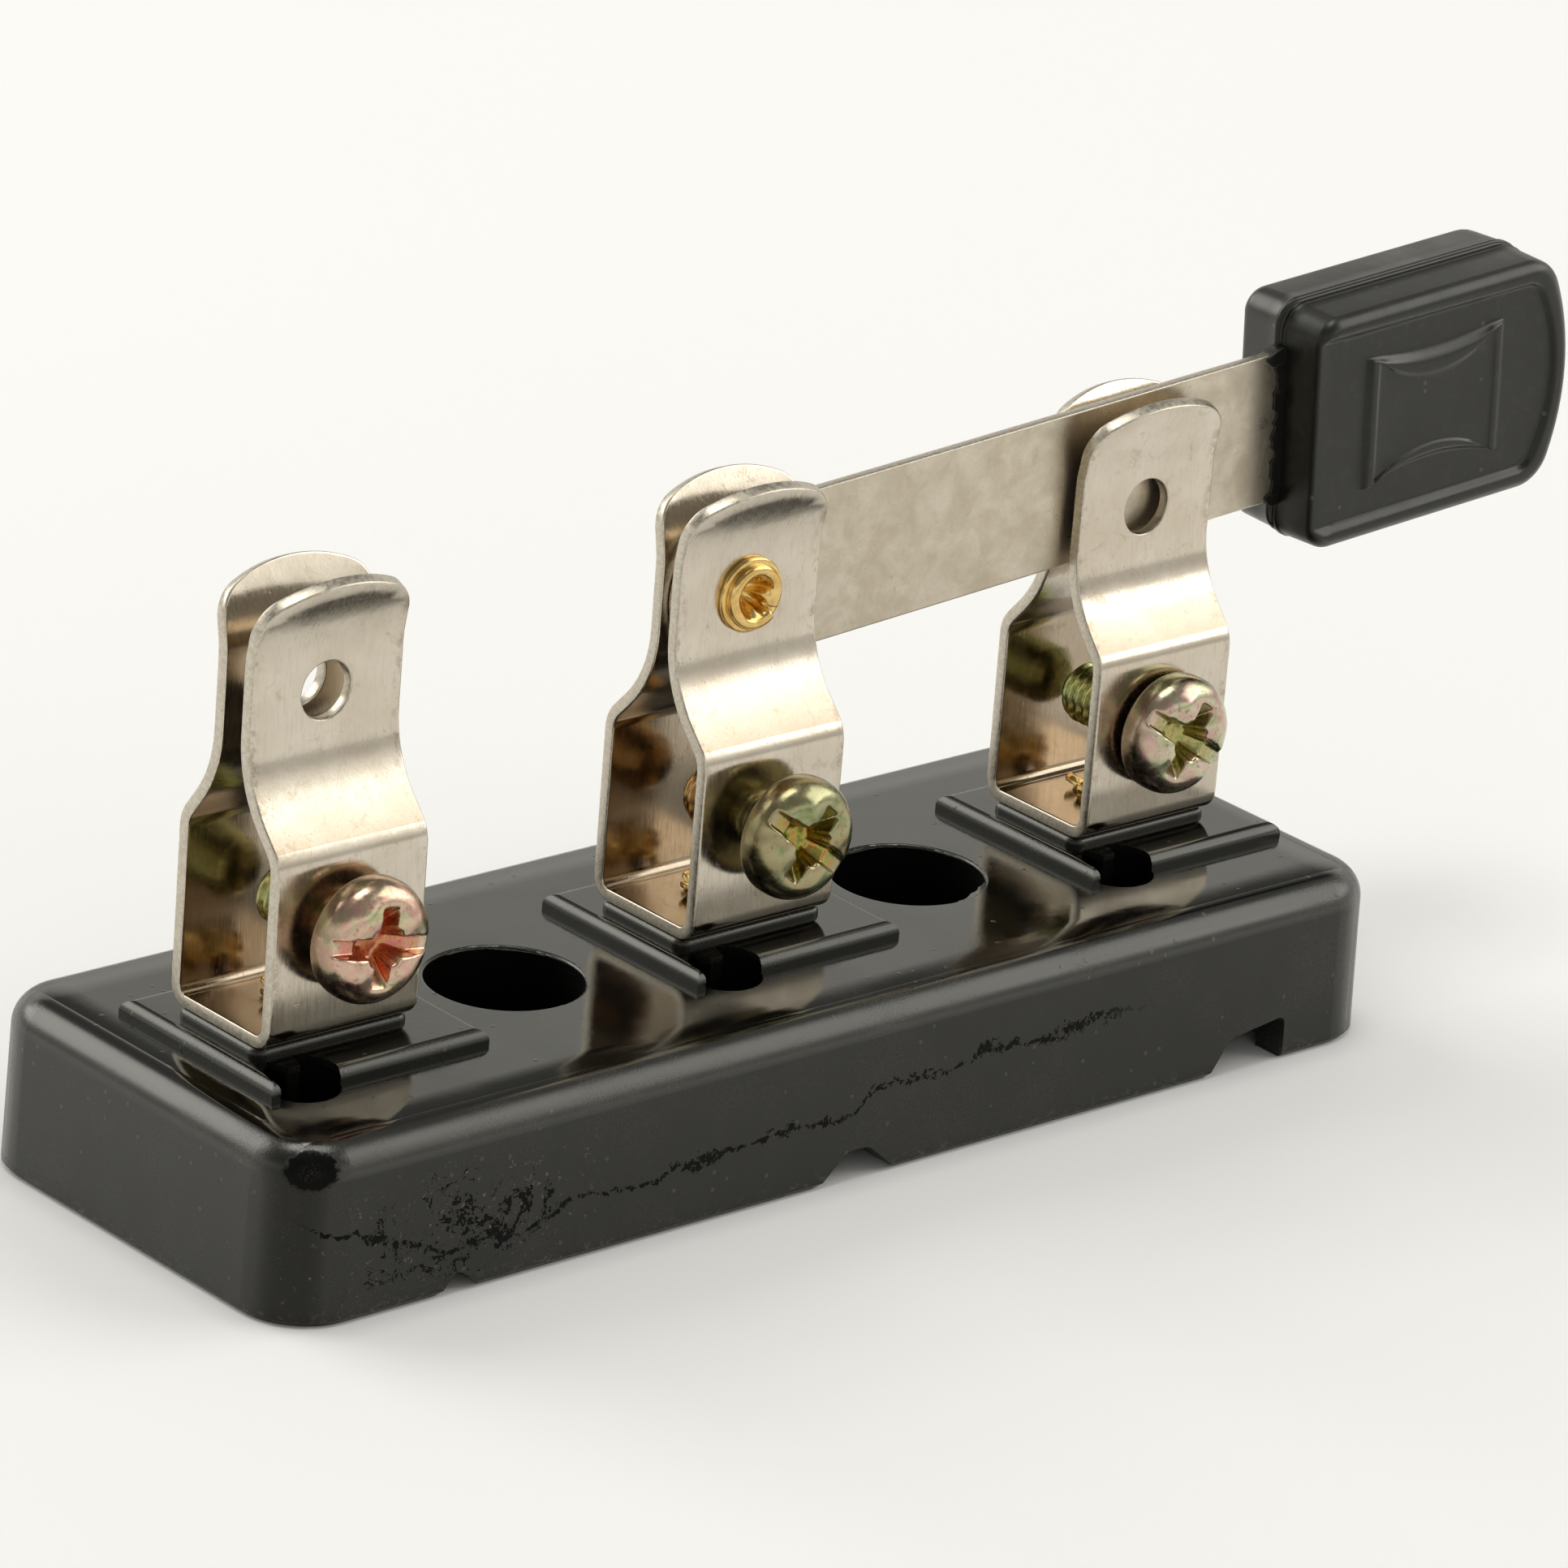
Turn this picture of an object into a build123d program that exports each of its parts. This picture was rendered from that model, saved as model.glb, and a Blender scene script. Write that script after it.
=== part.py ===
from build123d import *
from math import cos, radians, sin, tan
import os

# A single-pole, double-throw knife switch. Three spring clips stand in a row on a hollow base.
# The blade is pinned in the centre clip and swings in the XZ plane between the outer two.
# Origin: centre of the base's underside. +X points to the right clip, +Z up, front is -Y.

# Base moulding
base_length = 87.0
base_width = 30.5
base_height = 10.9
base_draft = 1.5
base_corner_radius = 4.4
base_top_radius = 2.0
base_foot_chamfer = 0.35
wall = 2.4
top_plate = 2.6
cavity_height = base_height - top_plate

# The three terminals
pitch = 32.0
terminals = {"left": -pitch, "center": 0.0, "right": pitch}
pad_left = 7.15
pad_right = 8.9
pad_depth = 14.7
pad_height = 0.95
pad_edge_radius = 0.7
seat_width = 11.4
seat_depth = 7.8
seat_height = 1.5
seat_corner_radius = 0.8
seat_edge_radius = 0.4

# Wire hole at the front left corner of each pad, with a small tongue at its back
wire_hole_x = -4.3
wire_hole_y = -6.5
wire_hole_radius = 2.3
tongue_root_half_width = 0.95
tongue_tip_half_width = 0.45
tongue_length = 1.5

# Mounting holes: a deep counterbore for the screw's head, and a clearance hole in its floor
mount_spacing = 32.0
mount_bore_radius = 4.85
mount_lip_radius = 0.2
mount_boss_radius = 6.5
mount_floor = 3.2
mount_hole_radius = 2.2

# Wire notches in the front wall: X and Z of each outline, and the radius of its two upper corners
notch_foot = -base_foot_chamfer
notches = [
    ([(-32.6, notch_foot), (-31.2, 1.25), (-30.7, 1.25), (-28.7, notch_foot)], 0.5),
    ([(-3.8, notch_foot), (-1.1, 1.95), (0.6, 1.95), (3.3, notch_foot)], 1.3),
    ([(28.4, notch_foot), (30.4, 2.3), (35.0, 2.9), (35.0, notch_foot)], 0.5),
]

# Spring clips, bent from strip
strip = 0.8
clip_width = 11.0
clip_depth = 9.4
clip_floor_z = base_height + seat_height
clip_corner_radius = 1.4
shoulder_z = 24.3
shoulder_radius = 1.6
neck_z = 28.0
neck_radius = 7.0
lip_z = 36.6
lip_radius = 8.0
lip_angle = 25.0
lip_top_z = 39.6
lip_crown = 1.5
lip_corner_radius = 2.4
jaw_hole_radius = 1.8
# Jaw gap and the middle of the gap in Y. The centre clip is closed on the blade.
jaw_gap = {"left": 1.7, "center": 0.8, "right": 1.5}
jaw_shift = {"left": 0.35, "center": 0.0, "right": -0.1}

# Hollow rivets that hold the clips down
rivet_radius = 1.65
rivet_bore_radius = 1.15
rivet_hole_radius = 1.7
rivet_head_radius = 3.0
rivet_head_height = 0.7
petal_reach = 2.5
petal_rise = 1.0
petal_strip = 0.35
petal_count = 6
petal_slit = 0.55

# Terminal screws, M4 by 8
screw_z = 19.2
screw_length = 8.0
screw_major_radius = 1.95
screw_minor_radius = 1.6
screw_pitch = 0.7
tapped_radius = 2.02
screw_tip_radius = 1.3
head_radius = 3.85
head_height = 2.8
head_round = 1.35
slot_width = 0.95
slot_depth = 1.1
cross_width = 1.25
cross_reach = 2.35
cross_depth = 1.7
cross_taper = 8.0
# How far each screw stands out of its seat, and how far its slot is turned
screw_gap = {"left": 0.95, "center": 1.5, "right": 0.35}
slot_angle = {"left": 8.0, "center": 38.0, "right": 33.0}

# Blade and its pivot
pivot_z = 32.8
blade_tilt = 3.6
blade_width = 10.0
blade_thickness = 0.7
blade_reach = 63.5
tang_width = 7.0
tang_start = 47.5
tang_hole_radius = 1.6
tang_hole_x = 57.0
pivot_radius = 1.72
pivot_bore_radius = 1.05
pivot_hole_radius = 1.78
pivot_bore_depth = 2.2
pivot_collar_radius = 2.35
pivot_collar_height = 0.3
pivot_rim_radius = 2.0
pivot_rim_height = 0.75
pivot_rim_round = 0.35
pivot_head_radius = 2.6
pivot_head_height = 0.7
pivot_head_round = 0.4

# Handle, moulded round the blade's tang
handle_start = 44.4
handle_end = 66.9
handle_bulge = 1.9
handle_half_height = 7.9
handle_half_thickness = 3.75
handle_start_radius = 1.8
handle_end_radius = 3.0
handle_edge_radius = 1.1
mould_shift = 0.3
panel_inset = 1.9
panel_depth = 0.25
panel_start_radius = 0.6
panel_end_radius = 1.1
grip_x = 54.7
grip_half_width = 5.3
grip_half_height = 4.2
grip_sag = 1.5
grip_line = 0.55
grip_rise = 0.35
grip_plateau_rise = 0.15

blade_plane = Plane(
    origin=(0, 0, pivot_z),
    x_dir=(cos(radians(blade_tilt)), 0, sin(radians(blade_tilt))),
    z_dir=(0, -1, 0),
)


def write(part, name):
    """Labels a finished piece and writes its STEP file."""
    part.label = name
    export_step(part, f"parts/{name}.step")


def make_base():
    """Hollow moulding with pads, seats, wire holes, mounting bosses and wire notches."""
    with BuildPart() as base:
        with BuildSketch():
            RectangleRounded(base_length, base_width, base_corner_radius)
        extrude(amount=base_height, taper=base_draft)
        fillet(base.faces().sort_by(Axis.Z)[-1].edges(), base_top_radius)
        chamfer(base.faces().sort_by(Axis.Z)[0].edges(), base_foot_chamfer)

        with BuildSketch():
            RectangleRounded(base_length - 2 * wall, base_width - 2 * wall, base_corner_radius - wall)
        extrude(amount=cavity_height, taper=base_draft, mode=Mode.SUBTRACT)

        pad_shift = (pad_right - pad_left) / 2
        for x in terminals.values():
            with BuildSketch(Plane.XY.offset(cavity_height)):
                with Locations((x + pad_shift, 0)):
                    Rectangle(pad_left + pad_right, pad_depth)
            extrude(amount=top_plate + pad_height)
        pad_tops = base.faces().filter_by(Axis.Z).group_by(Axis.Z)[-1]
        fillet(pad_tops.edges(), pad_edge_radius)

        for x in terminals.values():
            with BuildSketch(Plane.XY.offset(cavity_height)):
                with Locations((x, 0)):
                    RectangleRounded(seat_width, seat_depth, seat_corner_radius)
            extrude(amount=top_plate + seat_height)
        seat_tops = base.faces().filter_by(Axis.Z).group_by(Axis.Z)[-1]
        fillet(seat_tops.edges(), seat_edge_radius)

        for x in terminals.values():
            with BuildSketch():
                with Locations((x + wire_hole_x, wire_hole_y)):
                    Circle(wire_hole_radius)
                    tongue = [
                        (-tongue_root_half_width, wire_hole_radius),
                        (-tongue_tip_half_width, wire_hole_radius - tongue_length),
                        (tongue_tip_half_width, wire_hole_radius - tongue_length),
                        (tongue_root_half_width, wire_hole_radius),
                    ]
                    Polygon(*tongue, align=Align.NONE, mode=Mode.SUBTRACT)
            extrude(amount=2 * base_height, mode=Mode.SUBTRACT)
            with Locations((x, 0, base_height + seat_height)):
                Hole(rivet_hole_radius)

        mounts = [(-mount_spacing / 2, 0), (mount_spacing / 2, 0)]
        with BuildSketch():
            with Locations(*mounts):
                Circle(mount_boss_radius)
        extrude(amount=cavity_height)
        with BuildSketch(Plane.XY.offset(mount_floor)):
            with Locations(*mounts):
                Circle(mount_bore_radius)
        extrude(amount=base_height, mode=Mode.SUBTRACT)
        bore_edges = base.edges().filter_by(GeomType.CIRCLE).filter_by(lambda edge: edge.radius == mount_bore_radius)
        fillet(bore_edges.group_by(Axis.Z)[-1], mount_lip_radius)
        with BuildSketch():
            with Locations(*mounts):
                Circle(mount_hole_radius)
        extrude(amount=base_height, mode=Mode.SUBTRACT)

        for outline, upper_radius in notches:
            with BuildSketch(Plane.XZ.offset(base_width / 2 - 2 * wall)) as notch:
                with BuildLine():
                    Polyline(*outline, close=True)
                make_face()
                fillet(notch.vertices().sort_by(Axis.Y)[-2:], upper_radius)
            extrude(amount=3 * wall, mode=Mode.SUBTRACT)
    write(base.part, "base")


def clip_outline(gap, shift):
    """Outer line of the bent strip in the YZ plane, front lip to back lip."""
    front_neck = shift - gap / 2 - strip
    back_neck = shift + gap / 2 + strip
    flare = (lip_top_z - lip_z) * tan(radians(lip_angle))
    front = [
        (front_neck - flare, lip_top_z),
        (front_neck, lip_z),
        (front_neck, neck_z),
        (-clip_depth / 2, shoulder_z),
        (-clip_depth / 2, clip_floor_z),
    ]
    back = [
        (clip_depth / 2, clip_floor_z),
        (clip_depth / 2, shoulder_z),
        (back_neck, neck_z),
        (back_neck, lip_z),
        (back_neck + flare, lip_top_z),
    ]
    half_radii = [lip_radius, neck_radius, shoulder_radius + strip, clip_corner_radius]
    return front + back, half_radii + half_radii[::-1]


def make_clip(side):
    """U-shaped strip: floor, two flanges, shoulders, jaws and flared, arched lips."""
    x = terminals[side]
    points, radii = clip_outline(jaw_gap[side], jaw_shift[side])
    with BuildPart() as clip:
        with BuildSketch(Plane.YZ.offset(x)):
            with BuildLine():
                FilletPolyline(*points, radius=radii)
                offset(amount=strip, side=Side.LEFT)
            make_face()
        extrude(amount=clip_width / 2, both=True)

        half = clip_width / 2
        crown_z = lip_top_z - lip_crown
        with BuildSketch(Plane.XZ):
            with BuildLine():
                Polyline((x - half, crown_z), (x - half, clip_floor_z), (x + half, clip_floor_z),
                         (x + half, crown_z))
                ThreePointArc((x + half, crown_z), (x, lip_top_z), (x - half, crown_z))
            make_face()
            fillet(vertices().group_by(Axis.Y)[-1], lip_corner_radius)
        extrude(amount=clip_depth, both=True, mode=Mode.INTERSECT)

        with BuildSketch(Plane.XZ):
            with Locations((x, pivot_z)):
                Circle(jaw_hole_radius)
        extrude(amount=clip_depth, both=True, mode=Mode.SUBTRACT)
        with BuildSketch(Plane.XZ):
            with Locations((x, screw_z)):
                Circle(tapped_radius)
        extrude(amount=clip_depth, mode=Mode.SUBTRACT)
        with Locations((x, 0, clip_floor_z + strip)):
            Hole(rivet_hole_radius, depth=2 * strip)
    write(clip.part, f"clip_{side}")


def make_clip_rivet(side):
    """Hollow rivet: flat head under the top plate, star-split tip on the clip's floor."""
    floor_top = clip_floor_z + strip
    with BuildPart() as rivet:
        with BuildSketch(Plane.XZ):
            with BuildLine():
                Polyline(
                    (rivet_bore_radius, floor_top + petal_strip),
                    (rivet_bore_radius, cavity_height - rivet_head_height),
                    (rivet_head_radius, cavity_height - rivet_head_height),
                    (rivet_head_radius, cavity_height),
                    (rivet_radius, cavity_height),
                    (rivet_radius, floor_top),
                    (rivet_radius + petal_strip, floor_top),
                    (petal_reach, floor_top + petal_rise - petal_strip),
                    (petal_reach - petal_strip / 2, floor_top + petal_rise),
                    close=True,
                )
            make_face()
        revolve(axis=Axis.Z)
        slit_height = petal_rise + petal_strip
        with BuildSketch(Plane.XY.offset(floor_top + petal_strip / 2)):
            with PolarLocations(petal_reach, petal_count):
                Rectangle(2 * petal_reach, petal_slit)
        extrude(amount=slit_height, mode=Mode.SUBTRACT)
    rivet.part.position = (terminals[side], 0, 0)
    write(rivet.part, f"clip_rivet_{side}")


def make_screw(side):
    """Pan-head screw with a threaded shank, a cross recess and a slot, pointing along +Y."""
    x = terminals[side]
    seat_y = -clip_depth / 2 - screw_gap[side]
    tip_y = seat_y + screw_length
    half_pitch = screw_pitch / 2
    outline = [(0, seat_y), (screw_minor_radius, seat_y)]
    for turn in range(1, int(screw_length / screw_pitch) - 1):
        crest_y = seat_y + turn * screw_pitch
        outline += [(screw_minor_radius, crest_y - half_pitch), (screw_major_radius, crest_y)]
    outline += [(screw_minor_radius, tip_y - half_pitch), (screw_tip_radius, tip_y), (0, tip_y)]
    with BuildPart() as screw:
        with BuildSketch(Plane(origin=(x, 0, screw_z), x_dir=(1, 0, 0), z_dir=(0, 0, 1))):
            with BuildLine():
                Polyline(*outline, close=True)
            make_face()
        revolve(axis=Axis((x, 0, screw_z), (0, 1, 0)))
        with BuildSketch(Plane(origin=(x, seat_y, screw_z), x_dir=(1, 0, 0), z_dir=(0, -1, 0))):
            Circle(head_radius)
        extrude(amount=head_height)
        fillet(screw.edges().filter_by(GeomType.CIRCLE).sort_by(Axis.Y)[0], head_round)
        face = Plane(origin=(x, seat_y - head_height, screw_z), x_dir=(1, 0, 0), z_dir=(0, -1, 0))
        with BuildSketch(face):
            Rectangle(3 * head_radius, slot_width, rotation=slot_angle[side])
        extrude(amount=-slot_depth, mode=Mode.SUBTRACT)
        with BuildSketch(face):
            Rectangle(2 * cross_reach, cross_width, rotation=slot_angle[side])
            Rectangle(cross_width, 2 * cross_reach, rotation=slot_angle[side])
        extrude(amount=-cross_depth, taper=cross_taper, mode=Mode.SUBTRACT)
    write(screw.part, f"terminal_screw_{side}")


def make_pivot_rivet():
    """Hollow rivet through the centre clip's jaws and the blade, with a rolled rim in front."""
    jaw_face = jaw_gap["center"] / 2 + strip
    front = Plane(origin=(0, -jaw_face, pivot_z), x_dir=(1, 0, 0), z_dir=(0, -1, 0))
    with BuildPart() as rivet:
        with BuildSketch(front):
            Circle(pivot_radius)
        extrude(amount=-2 * jaw_face)
        with BuildSketch(front):
            Circle(pivot_collar_radius)
        extrude(amount=pivot_collar_height)
        with BuildSketch(front):
            Circle(pivot_rim_radius)
        extrude(amount=pivot_rim_height)
        rolled = rivet.edges().filter_by(GeomType.CIRCLE).sort_by(Axis.Y)[0]
        fillet(rolled, pivot_rim_round)
        with BuildSketch(front.offset(pivot_rim_height)):
            Circle(pivot_bore_radius)
        extrude(amount=-pivot_bore_depth, mode=Mode.SUBTRACT)
        with BuildSketch(front.offset(-2 * jaw_face)):
            Circle(pivot_head_radius)
        extrude(amount=-pivot_head_height)
        fillet(rivet.edges().filter_by(GeomType.CIRCLE).sort_by(Axis.Y)[-1], pivot_head_round)
    write(rivet.part, "pivot_rivet")


def make_blade():
    """Flat strip with a round end at the pivot and a narrower tang inside the handle."""
    half = blade_width / 2
    with BuildPart() as blade:
        with BuildSketch(blade_plane):
            with BuildLine():
                Polyline((0, half), (tang_start, half), (tang_start, tang_width / 2),
                         (blade_reach, tang_width / 2), (blade_reach, -tang_width / 2),
                         (tang_start, -tang_width / 2), (tang_start, -half), (0, -half))
                ThreePointArc((0, -half), (-half, 0), (0, half))
            make_face()
            Circle(pivot_hole_radius, mode=Mode.SUBTRACT)
            with Locations((tang_hole_x, 0)):
                Circle(tang_hole_radius, mode=Mode.SUBTRACT)
        extrude(amount=blade_thickness / 2, both=True)
    write(blade.part, "blade")
    return blade.part


def handle_outline(inset, start_radius, end_radius):
    """Handle's outline on the blade's plane: straight sides and a bowed outer end."""
    start = handle_start + inset
    corner = handle_end - handle_bulge - inset
    high = handle_half_height - inset
    with BuildSketch(mode=Mode.PRIVATE) as outline:
        with BuildLine():
            Polyline((corner, -high), (start, -high), (start, high), (corner, high))
            ThreePointArc((corner, high), (handle_end - inset, 0), (corner, -high))
        make_face()
        fillet(outline.vertices().group_by(Axis.X)[0], start_radius)
        fillet(outline.vertices().group_by(Axis.X)[-1], end_radius)
    return outline.sketch


def thumb_grip(line):
    """Thumb-grip shape: two upright sides and two ends bowed inwards, grown by line."""
    wide = grip_half_width + line
    high = grip_half_height
    with BuildSketch(mode=Mode.PRIVATE) as grip:
        with BuildLine():
            Line((grip_x - wide, -high), (grip_x - wide, high))
            Line((grip_x + wide, -high), (grip_x + wide, high))
            bow = high - grip_sag + line
            ThreePointArc((grip_x - wide, high), (grip_x, bow), (grip_x + wide, high))
            ThreePointArc((grip_x - wide, -high), (grip_x, -bow), (grip_x + wide, -high))
        make_face()
    return grip.sketch


def make_handle(blade_part):
    """Two-sided moulding with a stepped mould line, sunk panels and a raised thumb grip."""
    with BuildPart() as handle:
        for facing in (1, -1):
            shift = 0 if facing == 1 else mould_shift
            seam = Plane(origin=blade_plane.from_local_coords((-shift, shift, 0)),
                         x_dir=blade_plane.x_dir, z_dir=blade_plane.z_dir)
            with BuildSketch(seam):
                add(handle_outline(0, handle_start_radius, handle_end_radius))
            extrude(amount=facing * handle_half_thickness)
            outer_face = handle.faces().sort_by(Axis.Y)[0 if facing == 1 else -1]
            fillet(outer_face.edges(), handle_edge_radius)
            with BuildSketch(seam.offset(facing * handle_half_thickness)):
                add(handle_outline(panel_inset, panel_start_radius, panel_end_radius))
            extrude(amount=-facing * panel_depth, mode=Mode.SUBTRACT)
            with BuildSketch(seam.offset(facing * (handle_half_thickness - panel_depth))):
                add(thumb_grip(0))
            extrude(amount=facing * grip_plateau_rise)
            with BuildSketch(seam.offset(facing * (handle_half_thickness - panel_depth))):
                add(thumb_grip(grip_line))
                add(thumb_grip(0), mode=Mode.SUBTRACT)
            extrude(amount=facing * grip_rise)
        add(blade_part, mode=Mode.SUBTRACT)
    write(handle.part, "handle")


os.makedirs("parts", exist_ok=True)
make_base()
for terminal in terminals:
    make_clip(terminal)
    make_clip_rivet(terminal)
    make_screw(terminal)
make_pivot_rivet()
make_handle(make_blade())
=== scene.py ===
import random
from math import atan2, ceil, cos, degrees, exp, hypot, pi, radians, sin, sqrt

import bmesh
import bpy
from mathutils import Matrix, Vector
from mathutils.geometry import delaunay_2d_cdt


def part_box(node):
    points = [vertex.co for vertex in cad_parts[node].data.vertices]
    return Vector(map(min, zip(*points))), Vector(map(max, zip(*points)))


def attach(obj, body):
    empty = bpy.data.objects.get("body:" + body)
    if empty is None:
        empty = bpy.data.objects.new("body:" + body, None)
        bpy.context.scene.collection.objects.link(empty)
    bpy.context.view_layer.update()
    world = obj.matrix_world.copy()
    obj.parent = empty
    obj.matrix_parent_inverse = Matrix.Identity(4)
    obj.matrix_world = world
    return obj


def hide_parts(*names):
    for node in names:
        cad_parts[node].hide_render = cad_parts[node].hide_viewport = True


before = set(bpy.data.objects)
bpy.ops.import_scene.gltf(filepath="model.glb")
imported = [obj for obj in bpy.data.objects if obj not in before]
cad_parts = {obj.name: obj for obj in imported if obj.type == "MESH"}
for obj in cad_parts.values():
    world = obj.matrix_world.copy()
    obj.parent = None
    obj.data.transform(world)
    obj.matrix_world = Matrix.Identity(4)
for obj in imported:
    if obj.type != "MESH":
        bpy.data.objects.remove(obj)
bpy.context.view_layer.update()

# Knife switch. Shapes are made in millimetres in the row frame and scaled to metres as they become meshes.
MM = 0.001
rng = random.Random(7)

# Sizes shared with the CAD model, in millimetres
PITCH = 32.0
STRIP = 0.8
CLIP_WIDTH = 11.0
CLIP_DEPTH = 9.4
CLIP_FLOOR = 12.4
PIVOT_Z = 32.8
SCREW_Z = 19.2
BASE_TOP = 10.9
CENTRE_X = {"left": -PITCH, "center": 0.0, "right": PITCH}
JAW_GAP = {"left": 1.7, "center": 0.8, "right": 1.5}
JAW_SHIFT = {"left": 0.35, "center": 0.0, "right": -0.1}
BLADE_TILT = radians(3.6)


# ---- mesh helpers

def unit(value):
    """The value held between zero and one."""
    return min(1.0, max(0.0, value))


def linked(name, data):
    """A new object in the scene."""
    obj = bpy.data.objects.new(name, data)
    bpy.context.scene.collection.objects.link(obj)
    return obj


def mesh_object(name, verts, faces, materials, face_slots=None):
    """A new object from vertices in millimetres."""
    mesh = bpy.data.meshes.new(name)
    mesh.from_pydata([tuple(c * MM for c in v) for v in verts], [], faces)
    for material in materials:
        mesh.materials.append(material)
    if face_slots:
        mesh.polygons.foreach_set("material_index", face_slots)
    mesh.polygons.foreach_set("use_smooth", [True] * len(mesh.polygons))
    mesh.validate()
    mesh.update()
    return linked(name, mesh)


def merged(obj, distance=1e-7):
    """Welds vertices that fall together and turns the faces outwards."""
    work = bmesh.new()
    work.from_mesh(obj.data)
    bmesh.ops.remove_doubles(work, verts=work.verts, dist=distance)
    bmesh.ops.dissolve_degenerate(work, edges=work.edges, dist=distance)
    bmesh.ops.recalc_face_normals(work, faces=work.faces)
    work.to_mesh(obj.data)
    work.free()
    return obj


def join_parts(parts):
    """One shape from several, each of vertices, faces and the faces' slots."""
    verts, faces, slots = [], [], []
    for part_verts, part_faces, part_slots in parts:
        start = len(verts)
        verts += part_verts
        faces += [tuple(i + start for i in face) for face in part_faces]
        slots += part_slots
    return verts, faces, slots


def inside(point, loop):
    """True when the point is inside the closed loop."""
    x, y = point
    hit = False
    for (x0, y0), (x1, y1) in zip(loop, loop[1:] + loop[:1]):
        if (y0 > y) != (y1 > y) and x < (x1 - x0) * (y - y0) / (y1 - y0) + x0:
            hit = not hit
    return hit


def within(point, loops):
    """True inside the first loop and outside the others, which are its holes."""
    return inside(point, loops[0]) and not any(inside(point, hole) for hole in loops[1:])


def fill(points, loops):
    """Triangles over flat points that begin with those of the loops, inside the first loop and outside its holes."""
    edges, start = [], 0
    for loop in loops:
        edges += [(start + i, start + (i + 1) % len(loop)) for i in range(len(loop))]
        start += len(loop)
    found = delaunay_2d_cdt(points, edges, [], 0, 1e-9)
    triangles = []
    for triangle in found[2]:
        if within(sum((found[0][i] for i in triangle), Vector((0, 0))) / 3, loops):
            triangles.append(tuple(found[3][i][0] for i in triangle))
    return triangles


def inset_loop(loop, distance):
    """The loop moved to its left by a distance, along each corner's normal."""
    result = []
    for before, here, after in zip(loop[-1:] + loop[:-1], loop, loop[1:] + loop[:1]):
        a = Vector((here[0] - before[0], here[1] - before[1])).normalized()
        b = Vector((after[0] - here[0], after[1] - here[1])).normalized()
        normal = Vector((-a.y - b.y, a.x + b.x))
        normal /= max(normal.length_squared / 2, 0.2)
        result.append((here[0] + normal.x * distance, here[1] + normal.y * distance))
    return result


def arc(cx, cy, radius, start, end, steps):
    """Points on an arc, both ends included. Angles in degrees."""
    angles = [radians(start + (end - start) * i / steps) for i in range(steps + 1)]
    return [(cx + radius * cos(a), cy + radius * sin(a)) for a in angles]


def fillet_corners(corners, radii, step=10.0):
    """A closed outline with its corners rounded, and a radius of zero kept sharp."""
    outline = []
    for before, here, after, radius in zip(corners[-1:] + corners[:-1], corners, corners[1:] + corners[:1], radii):
        if not radius:
            outline.append(here)
            continue
        p = Vector(here)
        a = (Vector(before) - p).normalized()
        b = (Vector(after) - p).normalized()
        half = a.angle(b) / 2
        reach = radius / math_tan(half)
        centre = p + (a + b).normalized() * (radius / sin(half))
        first = p + a * reach - centre
        last = p + b * reach - centre
        start = degrees(atan2(first.y, first.x))
        sweep = (degrees(atan2(last.y, last.x)) - start + 180) % 360 - 180
        outline += arc(centre.x, centre.y, radius, start, start + sweep, max(2, ceil(abs(sweep) / step)))
    return outline


def math_tan(angle):
    return sin(angle) / cos(angle)


def crowned_end(half, crown, corner, steps=8):
    """Bowed end of a strip with rounded corners: (distance from the apex, across), across increasing."""
    radius = (half * half + crown * crown) / (2 * crown)
    across = half - corner
    along = radius - sqrt((radius - corner) ** 2 - across ** 2)
    tangent = degrees(atan2(across, along - radius))
    rounded = arc(along, across, corner, tangent, 90, steps)
    limit = rounded[0][1]
    bow = [limit * (i / steps - 1) for i in range(1, 2 * steps)]
    middle = [(radius - sqrt(radius ** 2 - v ** 2), v) for v in bow]
    return [(s, -v) for s, v in rounded[::-1]] + middle + rounded


def band(a, b):
    """Faces between two closed rings with the same number of vertices."""
    count = len(a)
    return [(a[i], b[i], b[(i + 1) % count], a[(i + 1) % count]) for i in range(count)]


def plate(loops, grid, thickness, edge, place, cap_slot=0, rim_slot=1):
    """Closed sheet with rounded edges. Loops are flat outlines, the outer one anticlockwise and the holes clockwise;
    place(s, v, h) lays a flat point and its height above the sheet's middle into space."""
    half = thickness / 2
    profile = [(edge * 1.6, half)]
    profile += [(edge * (1 - sin(radians(a))), half - edge * (1 - cos(radians(a)))) for a in (0, 30, 60, 90)]
    rings = profile + [(inset, -height) for inset, height in reversed(profile)]

    flat_loops = [inset_loop(loop, profile[0][0]) for loop in loops]
    rim = [p for loop in flat_loops for p in loop]
    keep = [p for p in grid if within(p, flat_loops) and min(hypot(p[0] - q[0], p[1] - q[1]) for q in rim) > 0.12]
    points = [Vector(p) for p in rim + keep]
    total = len(points)
    verts, faces = [], []
    for height in (half, -half):
        verts += [place(p.x, p.y, height) for p in points]
    for a, b, c in fill(points, flat_loops):
        faces += [(a, b, c), (total + c, total + b, total + a)]
    slots = [cap_slot] * len(faces)

    offset = 0
    for loop in loops:
        count = len(loop)
        previous = range(offset, offset + count)
        for inset, height in rings[1:-1]:
            here = range(len(verts), len(verts) + count)
            verts += [place(s, v, height) for s, v in inset_loop(loop, inset)]
            faces += band(previous, here)
            slots += [cap_slot if abs(height) == half else rim_slot] * count
            previous = here
        faces += band(previous, range(total + offset, total + offset + count))
        slots += [cap_slot] * count
        offset += count
    return verts, faces, slots


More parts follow.
